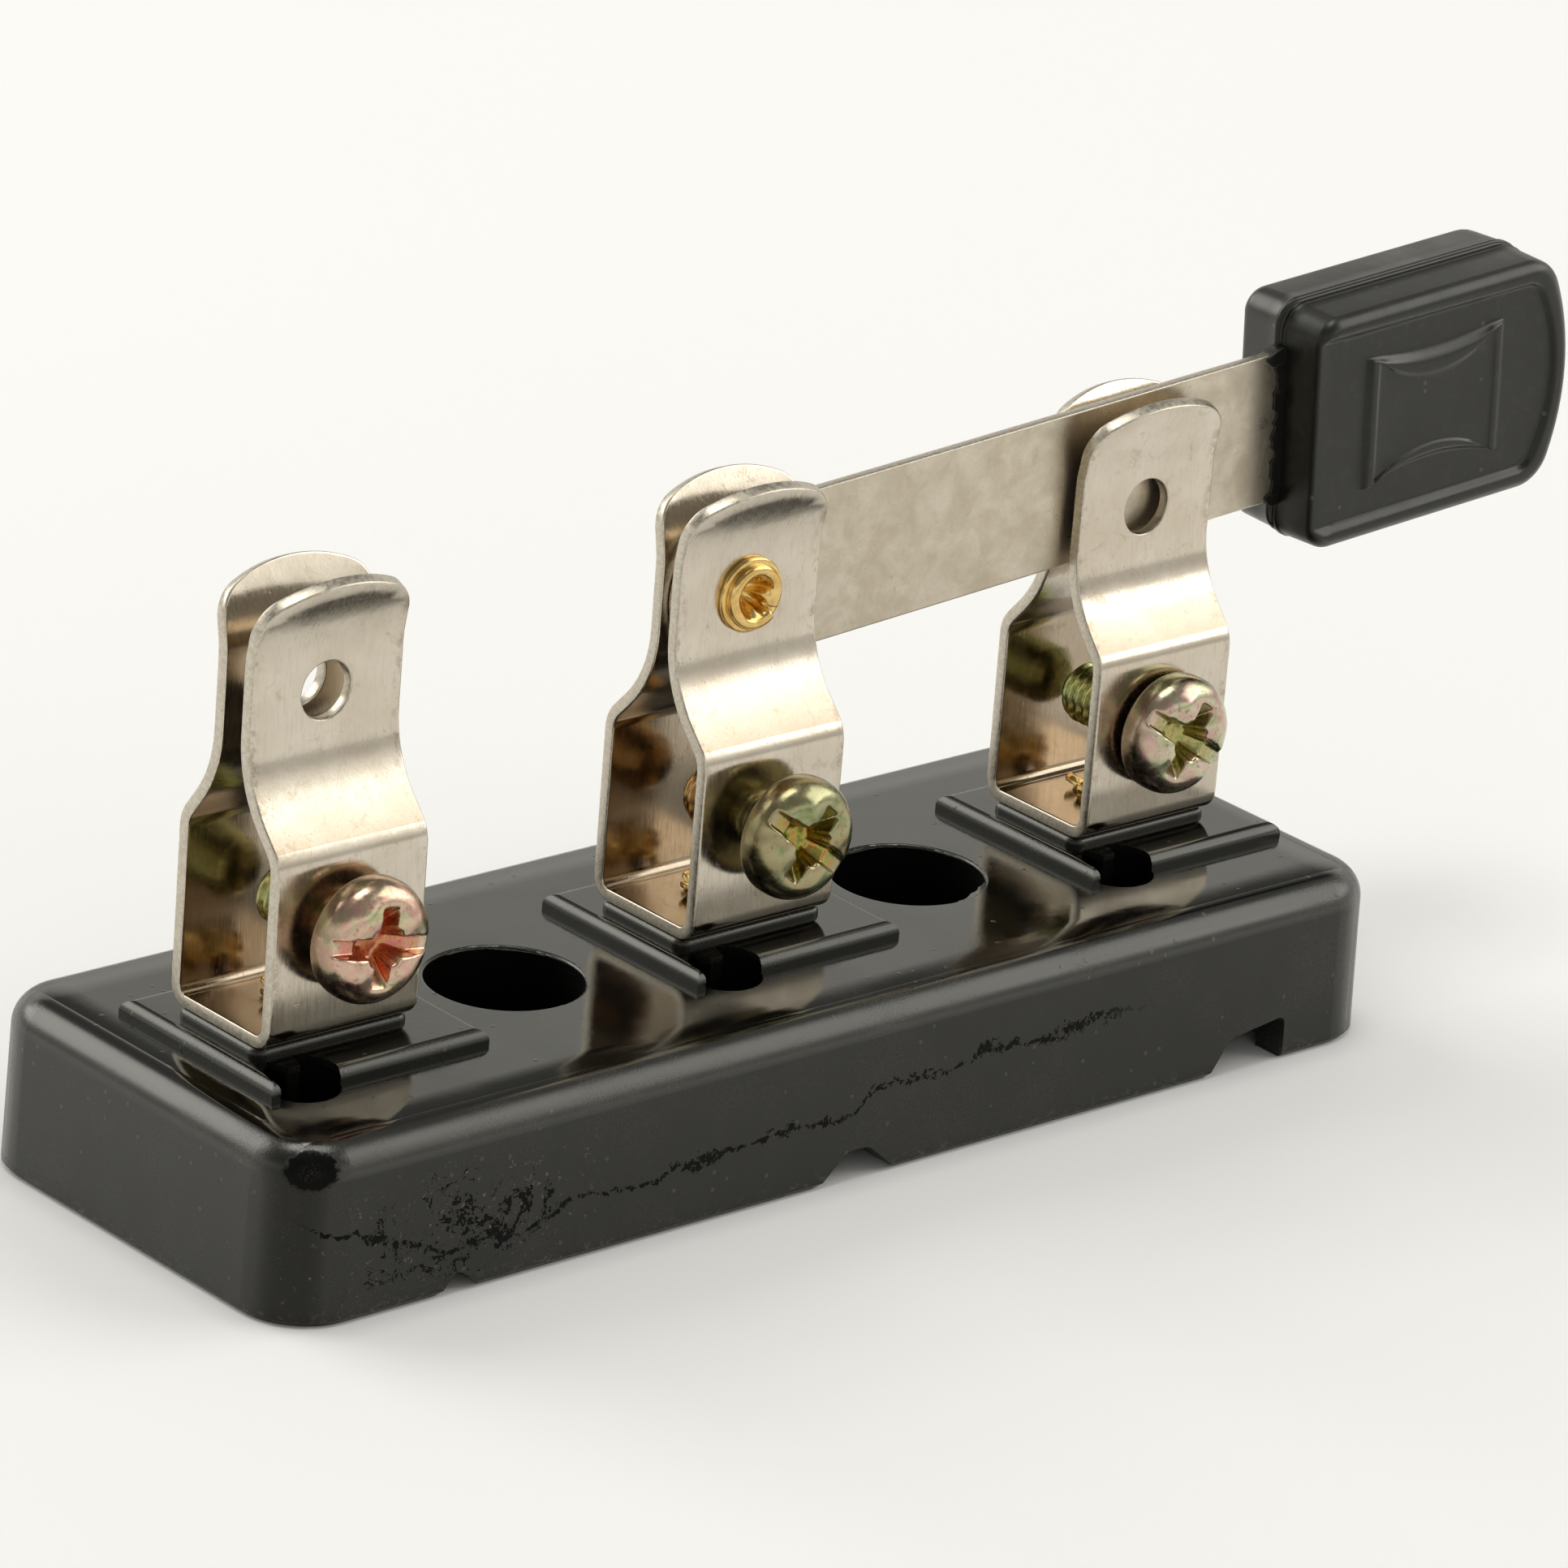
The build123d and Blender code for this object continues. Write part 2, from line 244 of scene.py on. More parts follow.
def polar_surface(rings, segments, capped=True):
    """Surface of rings, closed at its ends if capped. A ring gives the point at an angle."""
    verts = [ring(2 * pi * i / segments) for ring in rings for i in range(segments)]
    ids = [range(k * segments, (k + 1) * segments) for k in range(len(rings))]
    faces = [face for a, b in zip(ids, ids[1:]) for face in band(a, b)]
    for end, flip in ((ids[0], False), (ids[-1], True)) if capped else ():
        centre = len(verts)
        verts.append(tuple(sum(verts[i][c] for i in end) / segments for c in range(3)))
        for here, after in zip(end, [*end[1:], end[0]]):
            faces.append((centre, after, here) if flip else (centre, here, after))
    return verts, faces, [0] * len(faces)


# ---- material helpers

def joined(operation):
    """A method that joins two numbers with a Math node."""
    return lambda self, other: self.shade.math(operation, self, other)


class Number:
    """A number in a node tree. Arithmetic makes Math nodes; a | b is the larger and a & b the smaller."""

    def __init__(self, shade, socket):
        self.shade, self.socket = shade, socket

    __add__ = joined("ADD")
    __sub__ = joined("SUBTRACT")
    __mul__ = joined("MULTIPLY")
    __truediv__ = joined("DIVIDE")
    __or__ = joined("MAXIMUM")
    __and__ = joined("MINIMUM")
    __lt__ = joined("LESS_THAN")
    __gt__ = joined("GREATER_THAN")

    def __rsub__(self, other):
        return self.shade.math("SUBTRACT", other, self)

    def __abs__(self):
        return self.shade.math("ABSOLUTE", self)

    def remap(self, a, b, c=0.0, d=1.0):
        """Smooth step from c at a to d at b."""
        node = self.shade.node("MapRange", {"interpolation_type": "SMOOTHSTEP"}, Value=self)
        for name, number in (("From Min", a), ("From Max", b), ("To Min", c), ("To Max", d)):
            self.shade.put(node.inputs[name], number)
        return Number(self.shade, node.outputs["Result"])


class Shade:
    """A node material under construction. Coordinates are millimetres in the row frame."""

    def __init__(self, name):
        self.material = bpy.data.materials.new(name)
        self.material.use_nodes = True
        self.tree = self.material.node_tree
        self.tree.nodes.clear()
        self.shader = self.node("BsdfPrincipled")
        output = self.node("OutputMaterial")
        self.tree.links.new(self.shader.outputs[0], output.inputs[0])
        place = self.node("TexCoord").outputs["Object"]
        self.place = self.vector("SCALE", place, scale=1 / MM)
        self.x, self.y, self.z = self.split(self.place)

    def node(self, kind, settings=None, **inputs):
        node = self.tree.nodes.new("ShaderNode" + kind)
        for key, value in (settings or {}).items():
            setattr(node, key, value)
        for key, value in inputs.items():
            self.put(node.inputs[key.replace("_", " ")], value)
        return node

    def put(self, socket, value):
        if isinstance(value, Number):
            value = value.socket
        if isinstance(value, bpy.types.NodeSocket):
            self.tree.links.new(value, socket)
        elif isinstance(value, tuple) and len(value) == 3 and socket.type == "RGBA":
            socket.default_value = (*value, 1.0)
        else:
            socket.default_value = value

    def set(self, **inputs):
        for key, value in inputs.items():
            self.put(self.shader.inputs[key.replace("_", " ")], value)

    def metal(self, colour, rough, normal):
        self.set(Base_Color=colour, Metallic=1.0, Roughness=rough, Normal=normal)
        return self.material

    def math(self, operation, a, b=0.0, c=0.0, clamp=False):
        node = self.node("Math", {"operation": operation, "use_clamp": clamp})
        for socket, value in zip(node.inputs, (a, b, c)):
            self.put(socket, value)
        return Number(self, node.outputs[0])

    def length(self, a, b):
        return self.math("SQRT", self.math("POWER", a, 2.0) + self.math("POWER", b, 2.0))

    def vector(self, operation, a, b=None, scale=None):
        node = self.node("VectorMath", {"operation": operation})
        self.put(node.inputs[0], a)
        if b is not None:
            self.put(node.inputs[1], b)
        if scale is not None:
            node.inputs["Scale"].default_value = scale
        return node.outputs["Vector"]

    def split(self, vector):
        return [Number(self, socket) for socket in self.node("SeparateXYZ", Vector=vector).outputs]

    def facing(self):
        return self.split(self.node("NewGeometry").outputs["Normal"])

    def stretched(self, *scale):
        return self.vector("MULTIPLY", self.place, scale)

    def noise(self, scale, detail=3.0, rough=0.5, vector=None, distortion=0.0):
        node = self.node("TexNoise", Vector=vector or self.place, Scale=scale, Detail=detail,
                         Roughness=rough, Distortion=distortion)
        return Number(self, node.outputs["Fac"])

    def noise_line(self, value, scale, detail=3.0):
        node = self.node("TexNoise", {"noise_dimensions": "1D"}, W=value, Scale=scale, Detail=detail)
        return Number(self, node.outputs["Fac"])

    def specks(self, scale, size, share):
        """Small round spots in some of the cells of a Voronoi pattern."""
        cells = self.node("TexVoronoi", Vector=self.place, Scale=scale)
        chosen = Number(self, self.node("SeparateColor", Color=cells.outputs["Color"]).outputs[0])
        return Number(self, cells.outputs["Distance"]).remap(size, 0.09) * (chosen > share)

    def attribute(self, name):
        return Number(self, self.node("Attribute", {"attribute_name": name}).outputs["Fac"])

    def mix(self, factor, a, b):
        node = self.node("Mix", {"data_type": "RGBA"})
        self.put(node.inputs["Factor"], factor)
        colours = [s for s in node.inputs if s.type == "RGBA"]
        self.put(colours[0], a)
        self.put(colours[1], b)
        return [s for s in node.outputs if s.type == "RGBA"][0]

    def ramp(self, value, stops):
        node = self.node("ValToRGB", Fac=value)
        elements = node.color_ramp.elements
        while len(elements) < len(stops):
            elements.new(0.5)
        for element, (position, colour) in zip(elements, stops):
            element.position = position
            element.color = (*colour, 1.0)
        return node.outputs["Color"]

    def bump(self, height, distance, strength=1.0, normal=None):
        node = self.node("Bump", Height=height, Distance=distance * MM, Strength=strength)
        if normal:
            self.put(node.inputs["Normal"], normal)
        return node.outputs["Normal"]

    def corner(self, side, across):
        """Mask for painted shade: one on faces turned between the front and the left, fading towards both."""
        return ((side & 0.0) * (across & 0.0)).remap(0.02, 0.50)


def base_plastic():
    """Black phenolic: glossy top, satin walls, dust and chafing along the foot, a scuffed line in front, and painted
    shade in the holes and on faces turned left and front-left.
    """
    m = Shade("base_plastic")
    side, across, up = m.facing()
    top = up.remap(0.90, 0.99)
    grain = m.noise(2.2, 5.0, 0.62)
    fine = m.noise(9.0, 4.0, 0.6)
    cloud = m.noise(0.16, 3.0, 0.55)

    # Scuffed line along the front wall, fading to the right
    front = m.y.remap(-13.6, -14.6)
    wobble = (m.noise_line(m.x, 0.16, 4.0) - 0.5) * 4.2
    rise = m.math("MULTIPLY_ADD", m.x, 0.075, 5.0)
    left = ((-31.0 - m.x) | 0.0) * 0.42
    off_line = abs(m.z - (rise + left + wobble))
    width = m.noise(0.30, 2.0).remap(0.42, 0.70, 0.14, 0.85)
    ragged = m.noise(2.0, 3.5, 0.78, distortion=0.6)
    need = (1.0 - off_line / (width + 0.12)).remap(-0.3, 0.9, 0.72, 0.45)
    line_mask = (ragged - need).remap(0.0, 0.03) * m.x.remap(28.0, 18.0)

    # Crazed patch near the line's left end, with tan specks over it
    far = m.length((m.x + 30.6) / 8.2, (m.z - 4.0) / 3.6)
    drift = (m.noise(0.34, 3.0, 0.6) - 0.5) * 2.4
    packed = drift + 1.0 - far
    ridge = abs(m.noise(0.42, 4.0, 0.74, distortion=0.5) - 0.5)
    beads = m.noise(1.7, 2.0, 0.6).remap(0.40, 0.60, 0.25, 1.5)
    cracked = (packed.remap(0.0, 0.9, 0.005, 0.036) * beads - ridge).remap(0.0, 0.004)
    blots = (m.noise(1.25, 3.5, 0.72) - packed.remap(0.0, 0.9, 0.71, 0.565)).remap(0.0, 0.012)
    patch_mask = (cracked | blots) * packed.remap(0.0, 0.15)
    scuff = (line_mask | patch_mask) * front
    tan = packed.remap(-0.8, 0.2) * m.noise(2.1, 3.0, 0.8).remap(0.635, 0.665) * m.y.remap(-12.6, -13.4)

    # Moulding mark at the near corner, black with a little grit
    off_mark = m.vector("MULTIPLY", m.vector("SUBTRACT", m.place, (-41.5, -14.3, 9.65)), (0.75, 0.75, 1.1))
    off_mark = Number(m, m.node("VectorMath", {"operation": "LENGTH"}, Vector=off_mark).outputs["Value"])
    away = off_mark + (grain - 0.5) * 0.8
    mark = away.remap(1.35, 1.12)
    grit = away.remap(0.8, 0.3) * fine.remap(0.50, 0.62)

    # Painted shade: the walls of the mounting and wire holes are painted black, with black reflections
    in_bore = (m.z < 10.66) * (m.z > 0.6) * (m.length(abs(m.x) - PITCH / 2, m.y) < 5.0)
    nearest = m.math("WRAP", m.x + 4.3, PITCH / 2, -PITCH / 2)
    in_wire_hole = (m.length(nearest, m.y + 6.5) < 2.34) * (m.z < 11.45) * (m.z > 0.6)
    painted_hole_shade = in_bore | in_wire_hole

    # Dust: pale specks everywhere, pale rubbed edges at the foot, and a thin film
    scratch = m.noise(1.0, 6.0, 0.8, m.stretched(1.3, 1.3, 2.2))
    rubbed = m.z.remap(1.5, 0.0) * scratch.remap(0.52, 0.66)
    film = cloud.remap(0.35, 0.75) * top.remap(0.0, 1.0, 0.22, 0.10)
    dust = m.specks(0.95, 0.17, 0.78) * 0.5 | (rubbed | tan) * 0.8 | film * fine.remap(0.4, 0.7)
    # Black: the scuffs and the moulding mark, and the painted shade in the holes
    black = scuff | mark | painted_hole_shade
    colour = m.mix(dust * 0.6, (0.005, 0.005, 0.0046), (0.125, 0.115, 0.095))
    colour = m.mix(tan * 0.6, colour, (0.15, 0.11, 0.07))
    colour = m.mix(black, colour, (0.002, 0.002, 0.0018))
    colour = m.mix(grit * 0.35, colour, (0.06, 0.058, 0.052))

    # Painted shade by facing: flat faces reflect less than the rounded edges, faces turned left less again, and the
    # corner between front and left least of all
    bevel = up.remap(0.02, 0.22) * up.remap(0.985, 0.94)
    painted_facing_shade = (1.0 - bevel) * side.remap(-0.95, -0.80, 0.24, 0.42) | m.corner(side, across) * 0.66
    gloss = top.remap(0.0, 1.0, 0.25, 0.07) + (cloud - 0.4) * 0.06 + black * 0.3
    gloss = m.math("ADD", gloss, dust * 0.3, clamp=True)

    # The top sinks a little towards its border
    sink = []
    for along, start in ((m.x, 39.0), (m.y, 10.9)):
        past = (abs(along) - start | 0.0) & 2.1
        sink.append(past * past * -0.036)
    normal = m.bump(sink[0] + sink[1], 1.0, 1.0)
    normal = m.bump(m.noise(0.11, 2.0), 0.12, 0.2, normal)
    normal = m.bump(grain, 0.009, 0.4, normal)
    normal = m.bump(dust - (scuff | mark) * 2.0, 0.03, 0.7, normal)
    m.set(Base_Color=colour, Metallic=black * 0.9 | painted_facing_shade, Roughness=gloss, IOR=1.68,
          Specular_Tint=(1.0, 1.0, 0.93, 1.0), Normal=normal)
    return m.material


def handle_plastic():
    """Satin black moulding with a fine skin, worn patches, a few specks, and painted shade on faces turned left and
    front-left.
    """
    m = Shade("handle_plastic")
    skin = m.noise(6.5, 4.0, 0.6)
    cloud = m.noise(0.22, 3.0, 0.6)
    worn = m.noise(1.1, 4.0, 0.7).remap(0.5, 0.7) * 0.3
    tone = m.specks(0.8, 0.16, 0.82) * 0.5 | worn * 0.25
    colour = m.mix(tone, (0.0085, 0.0085, 0.008), (0.085, 0.08, 0.07))
    rough = cloud.remap(0.3, 0.7, 0.29, 0.37) + (skin - 0.5) * 0.12
    normal = m.bump(skin, 0.012, 0.6, m.bump(cloud, 0.10, 0.3))
    # Painted shade by facing: flat faces reflect less, the left faces of the front half less again, and the corner
    # between front and left the least
    side, across, up = m.facing()
    flat = (side | (abs(across) | abs(up))).remap(0.93, 0.99, 0.0, 0.38)
    shaded = side.remap(-0.45, -0.85) * m.y.remap(0.6, 0.0)
    painted_facing_shade = flat | shaded * 0.62 | m.corner(side, across) * 0.5
    m.set(Base_Color=colour, Metallic=painted_facing_shade, Roughness=rough, IOR=1.6,
          Specular_Tint=(1.0, 1.0, 0.94, 1.0), Normal=normal)
    return m.material


def clip_nickel():
    """Bright nickel strip: fine grain along the strip, smudges, scratches, tarnished rims, and painted shade on the
    inside between the flanges.
    """
    m = Shade("clip_nickel")
    brushed = m.noise(1.0, 5.0, 0.65, m.stretched(6.5, 6.5, 0.55))
    fine = m.noise(1.0, 3.0, 0.6, m.stretched(16.0, 16.0, 1.1))
    cloud = m.noise(0.28, 4.0, 0.6)
    smudge = m.noise(0.75, 5.0, 0.7, distortion=0.6).remap(0.55, 0.72)
    pits = m.noise(3.1).remap(0.68, 0.74)
    scratch = m.noise(1.0, 3.0, 0.6, m.stretched(7.0, 7.0, 0.7)).remap(0.62, 0.70)
    scratch = scratch * m.noise(0.5, 3.0, 0.6).remap(0.50, 0.62)
    across = abs(m.math("WRAP", m.x, PITCH / 2, -PITCH / 2))
    rim = across.remap(4.55, 5.35) * m.noise(0.9, 5.0, 0.75).remap(0.50, 0.60)
    # Painted shade on the inner faces between the flanges, fading out upwards
    within = (abs(m.y) < 4.3) * m.z.remap(27.5, 24.0) * (m.z > 12.8)
    colour = m.mix(cloud.remap(0.3, 0.7), (0.66, 0.595, 0.50), (0.585, 0.515, 0.415))
    colour = m.mix(brushed.remap(0.52, 0.66) * 0.22, colour, (0.42, 0.35, 0.25))
    colour = m.mix((smudge | pits | scratch) * 0.34, colour, (0.32, 0.245, 0.15))
    colour = m.mix(rim * 0.42, colour, (0.22, 0.16, 0.09))
    colour = m.mix(within * 0.55, colour, (0.27, 0.185, 0.10))
    rough = brushed.remap(0.3, 0.7, 0.12, 0.21) + smudge * 0.09
    normal = m.bump(m.noise(0.22, 2.0), 0.10, 0.35)
    normal = m.bump(brushed, 0.006, 0.45, normal)
    normal = m.bump(fine - (pits | scratch) * 1.5, 0.003, 0.5, normal)
    return m.metal(colour, rough, normal)


def cut_edge():
    """Sheared edge of the strip: paler and rougher, with torn marks across it."""
    m = Shade("cut_edge_nickel")
    torn = m.noise(1.0, 4.0, 0.7, m.stretched(3.0, 3.0, 3.4))
    marks = m.noise(4.2, 3.0, 0.6)
    dark = (torn * marks).remap(0.30, 0.20)
    colour = m.mix(dark * 0.35, (0.60, 0.55, 0.46), (0.30, 0.25, 0.18))
    return m.metal(colour, torn.remap(0.3, 0.7, 0.26, 0.44), m.bump(torn + marks * 0.5, 0.012, 0.5))


def blade_nickel():
    """Satin nickel blade: warm mottled sheen, stains and light scratches along it."""
    m = Shade("blade_nickel")
    grain = m.noise(1.0, 5.0, 0.7, m.stretched(0.5, 4.0, 6.0))
    mottle = m.noise(0.42, 5.0, 0.68, distortion=0.4)
    speckle = m.noise(4.6, 3.0, 0.6)
    stain = m.noise(1.25, 5.0, 0.72).remap(0.60, 0.74)
    colour = m.mix(mottle.remap(0.32, 0.68), (0.605, 0.54, 0.435), (0.495, 0.43, 0.33))
    colour = m.mix(stain * 0.35, colour, (0.30, 0.235, 0.14))
    colour = m.mix(speckle.remap(0.55, 0.75) * 0.2, colour, (0.66, 0.60, 0.50))
    rough = mottle.remap(0.3, 0.7, 0.27, 0.38) + (speckle - 0.5) * 0.16
    normal = m.bump(m.noise(0.2, 2.0), 0.10, 0.3)
    normal = m.bump(grain + speckle * 0.7, 0.006, 0.6, normal)
    return m.metal(colour, rough, normal)


def zinc(name, seed, pale, pink, green, deep, shank):
    """Yellow-passivated zinc: drifting gold, pink and green, with other colours in the recess and on the shank."""
    m = Shade(name)
    shifted = m.vector("ADD", m.place, (seed, seed * 1.7, -seed))
    drift = m.noise(0.34, 3.0, 0.6, shifted, 0.9)
    fine = m.noise(1.7, 4.0, 0.65, shifted)
    tint = drift * 0.78 + fine * 0.22
    colour = m.ramp(tint, [(0.30, green), (0.42, pale), (0.50, pink), (0.58, pale), (0.70, green)])
    stained = m.ramp(fine, [(0.36, deep[0]), (0.5, deep[1]), (0.64, deep[2])])
    colour = m.mix(m.attribute("recess") * 0.85, colour, stained)
    colour = m.mix(m.y.remap(-4.6, -4.1) * 0.75, colour, shank)
    # Dirt in patches, and painted shade darkening the head's outer edge
    dirt_and_rim_shade = m.noise(2.2, 4.0, 0.7, shifted).remap(0.56, 0.70) | m.attribute("rim") * 0.8
    colour = m.mix(dirt_and_rim_shade * 0.6, colour, (0.15, 0.115, 0.055))
    turned = m.noise(1.0, 3.0, 0.6, m.vector("MULTIPLY", shifted, (0.5, 9.0, 0.5)))
    normal = m.bump(m.noise(0.9, 2.0, 0.5, shifted), 0.05, 0.4)
    normal = m.bump(turned + fine, 0.010, 0.45, normal)
    return m.metal(colour, fine.remap(0.3, 0.7, 0.17, 0.30), normal)


def rivet_brass():
    """Bright brass with darker tarnish in patches."""
    m = Shade("rivet_brass")
    cloud = m.noise(0.8, 4.0, 0.65)
    fine = m.noise(5.0, 3.0, 0.6)
    colour = m.mix(cloud.remap(0.35, 0.7), (0.80, 0.58, 0.23), (0.64, 0.40, 0.12))
    colour = m.mix(fine.remap(0.6, 0.75) * 0.3, colour, (0.22, 0.12, 0.04))
    return m.metal(colour, fine.remap(0.3, 0.7, 0.14, 0.26), m.bump(cloud + fine * 0.3, 0.02, 0.45))


MATERIALS = {
    "base": base_plastic(),
    "handle": handle_plastic(),
    "nickel": clip_nickel(),
    "edge": cut_edge(),
    "blade": blade_nickel(),
    "brass": rivet_brass(),
    "zinc_left": zinc("zinc_left", 3.1, (0.60, 0.51, 0.34), (0.62, 0.38, 0.31), (0.44, 0.44, 0.24),
                      ((0.45, 0.05, 0.08), (0.55, 0.26, 0.08), (0.62, 0.14, 0.17)), (0.30, 0.36, 0.11)),
    "zinc_center": zinc("zinc_center", 11.7, (0.34, 0.34, 0.19), (0.38, 0.31, 0.17), (0.20, 0.25, 0.10),
                        ((0.42, 0.14, 0.03), (0.40, 0.33, 0.06), (0.12, 0.20, 0.03)), (0.50, 0.28, 0.10)),
    "zinc_right": zinc("zinc_right", 21.3, (0.55, 0.52, 0.36), (0.58, 0.38, 0.33), (0.33, 0.40, 0.18),
                       ((0.24, 0.30, 0.06), (0.46, 0.38, 0.12), (0.14, 0.22, 0.05)), (0.34, 0.42, 0.12)),
}


def finish_piece(obj, body, node=None):
    """The piece rides its body, and stands in for its CAD node if it has one."""
    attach(obj, body)
    if node:
        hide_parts(node)


def make_piece(name, shape, materials, body, node=None, weld=False):
    verts, faces, slots = shape
    obj = mesh_object(name, verts, faces, [MATERIALS[key] for key in materials], slots)
    if weld:
        merged(obj)
    finish_piece(obj, body, node)


# ---- base

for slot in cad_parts["base"].material_slots:
    slot.material = MATERIALS["base"]


def rim_flash(name, centre, radius, spans):
    """Thin broken skin of plastic left round the rim of a hole."""
    parts = []
    for start, end, reach in spans:
        steps = max(6, int((end - start) / 5))
        outer = arc(*centre, radius + 0.18, start, end, steps)
        inner = []
        for i, (x, y) in enumerate(arc(*centre, radius - 0.05, start, end, steps)):
            bite = sin(pi * i / steps) ** 0.5 * reach * rng.uniform(0.45, 1.0)
            scale = (radius - 0.05 - bite) / (radius - 0.05)
            inner.append((centre[0] + (x - centre[0]) * scale, centre[1] + (y - centre[1]) * scale))
        loop = outer + inner[::-1]
        lift = [rng.uniform(-0.02, 0.02) for _ in range(3)]

        def place(s, v, h, lift=lift):
            wave = lift[0] * sin(s * 2.1) + lift[1] * sin(v * 2.7)
            return s, v, BASE_TOP - 0.20 + h + wave
        parts.append(plate([loop], [], 0.09, 0.03, place, 0, 0))
    make_piece(name, join_parts(parts), ["base"], "switch_base")


rim_flash("hole_skin_right", (PITCH / 2, 0.0), 4.85, [(222, 262, 0.3), (268, 318, 0.42), (70, 100, 0.15)])
rim_flash("hole_skin_left", (-PITCH / 2, 0.0), 4.85, [(20, 62, 0.16), (200, 250, 0.14)])


# ---- spring clips

class Path:
    """Straight runs joined by arcs, sampled so that every bend has its own rows."""

    def __init__(self, corners, radii, offset):
        self.rows = []
        points = [Vector(c) for c in corners]
        for i, here in enumerate(points):
            if i in (0, len(points) - 1):
                other = points[1] if i == 0 else points[-2]
                direction = (other - here if i == 0 else here - other).normalized()
                left = Vector((-direction.y, direction.x))
                self.rows.append((here + left * offset, direction))
                continue
            a = (here - points[i - 1]).normalized()
            b = (points[i + 1] - here).normalized()
            turn = a.angle_signed(b)
            radius = radii[i - 1]
            reach = radius * math_tan(abs(turn) / 2)
            side = -1.0 if turn > 0 else 1.0
            centre = here - a * reach + Vector((-a.y, a.x)) * radius * side
            steps = max(4, ceil(abs(degrees(turn)) / 5))
            for k in range(steps + 1):
                angle = atan2(a.y, a.x) - turn * k / steps
                direction = Vector((cos(angle), sin(angle)))
                left = Vector((-direction.y, direction.x))
                self.rows.append((centre - left * radius * side + left * offset, direction))
        self.length = [0.0]
        for (p, _), (q, _) in zip(self.rows, self.rows[1:]):
            self.length.append(self.length[-1] + (q - p).length)

    def at(self, s):
        """Middle point and direction at a length along the strip."""
        s = min(max(s, 0.0), self.length[-1])
        k = 1
        while self.length[k] < s and k < len(self.length) - 1:
            k += 1
        run = self.length[k] - self.length[k - 1]
        t = (s - self.length[k - 1]) / run if run else 0.0
        (p, a), (q, b) = self.rows[k - 1], self.rows[k]
        return p.lerp(q, t), a.lerp(b, t).normalized()

    def find(self, z, back=False):
        """Length along the strip where its middle is at height z, in front or behind."""
        low, high = (self.length[-1] / 2, self.length[-1]) if back else (0.0, self.length[-1] / 2)
        for _ in range(50):
            middle = (low + high) / 2
            if (self.at(middle)[0].y > z) != back:
                low = middle
            else:
                high = middle
        return (low + high) / 2


SHOULDER_Z, NECK_Z, LIP_Z, LIP_TOP = 24.3, 28.0, 36.6, 39.6
LIP_CROWN, LIP_CORNER, LIP_ANGLE = 1.5, 2.4, radians(25)
BEND_RADII = [8.0, 7.0, 2.4, 1.4]


def clip_path(side):
    gap, shift = JAW_GAP[side], JAW_SHIFT[side]
    front, back = shift - gap / 2 - STRIP, shift + gap / 2 + STRIP
    flare = (LIP_TOP - LIP_Z) * math_tan(LIP_ANGLE)
    half = CLIP_DEPTH / 2
    corners = [
        (front - flare, LIP_TOP), (front, LIP_Z), (front, NECK_Z), (-half, SHOULDER_Z), (-half, CLIP_FLOOR),
        (half, CLIP_FLOOR), (half, SHOULDER_Z), (back, NECK_Z), (back, LIP_Z), (back + flare, LIP_TOP),
    ]
    return Path(corners, BEND_RADII + BEND_RADII[::-1], STRIP / 2)


def circle(along, radius, steps=40):
    """Clockwise circle on the strip's centre line, for a hole."""
    return [(along + radius * cos(-2 * pi * i / steps), radius * sin(-2 * pi * i / steps)) for i in range(steps)]


def make_clip(side):
    """Spring clip bent from one blank, with crowned lips, jaw holes and a screw hole."""
    centre_x = CENTRE_X[side]
    path = clip_path(side)
    half = CLIP_WIDTH / 2
    total = path.length[-1]
    crown = LIP_CROWN / cos(LIP_ANGLE)
    top = crowned_end(half, crown, LIP_CORNER)
    rows = [s for s in path.length if crown + LIP_CORNER + 0.3 < s < total - crown - LIP_CORNER - 0.3]
    extra = []
    for a, b in zip(rows, rows[1:]):
        parts = int((b - a) / 1.2)
        extra += [a + (b - a) * i / (parts + 1) for i in range(1, parts + 1)]
    rows = sorted(rows + extra)
    outline = [(s, -half) for s in rows]
    outline += [(total - s, v) for s, v in top]
    outline += [(s, half) for s in reversed(rows)]
    outline += top[::-1]

    holes = [circle(path.find(PIVOT_Z), 1.8), circle(path.find(PIVOT_Z, True), 1.8),
             circle(path.find(SCREW_Z), 2.02), circle(total / 2, 1.7)]
    columns = [half * f for f in (-0.88, -0.66, -0.44, -0.22, 0.0, 0.22, 0.44, 0.66, 0.88)]
    grid = [(s, v) for s in rows for v in columns]
    bow = (half * half + crown * crown) / (2 * crown)
    grid += [(s, v) for s in (2.6, 3.3, total - 0.9, total - 2.0, total - 3.0) for v in columns]
    grid += [(bow - sqrt(bow * bow - v * v) + gap, v) for gap in (0.36, 0.55, 0.75, 0.95, 1.2) for v in columns]
    ranges = (0.15, 0.4), (0, 6.3), (0.1, 0.3), (0, 6.3)
    waves = [[rng.uniform(*limits) for limits in ranges] for _ in range(3)]

    def place(s, v, h):
        middle, direction = path.at(s)
        out = Vector((direction.y, -direction.x))
        away = unit((middle.y - CLIP_FLOOR - 1.5) / 3.0)
        wave = sum(0.012 * sin(s * a + b) * cos(v * c + d) for a, b, c, d in waves) * away
        rolled = max(0.0, 1 - (s - bow + sqrt(bow * bow - v * v)) / 0.95) if s < 5 else 0.0
        point = middle + out * (h + wave - 0.14 * rolled * rolled)
        return centre_x + v, point.x, point.y

    make_piece(f"clip_{side}_strip", plate([outline, *holes], grid, STRIP, 0.11, place), ["nickel", "edge"],
               "switch_base", f"clip_{side}")


# ---- rivets

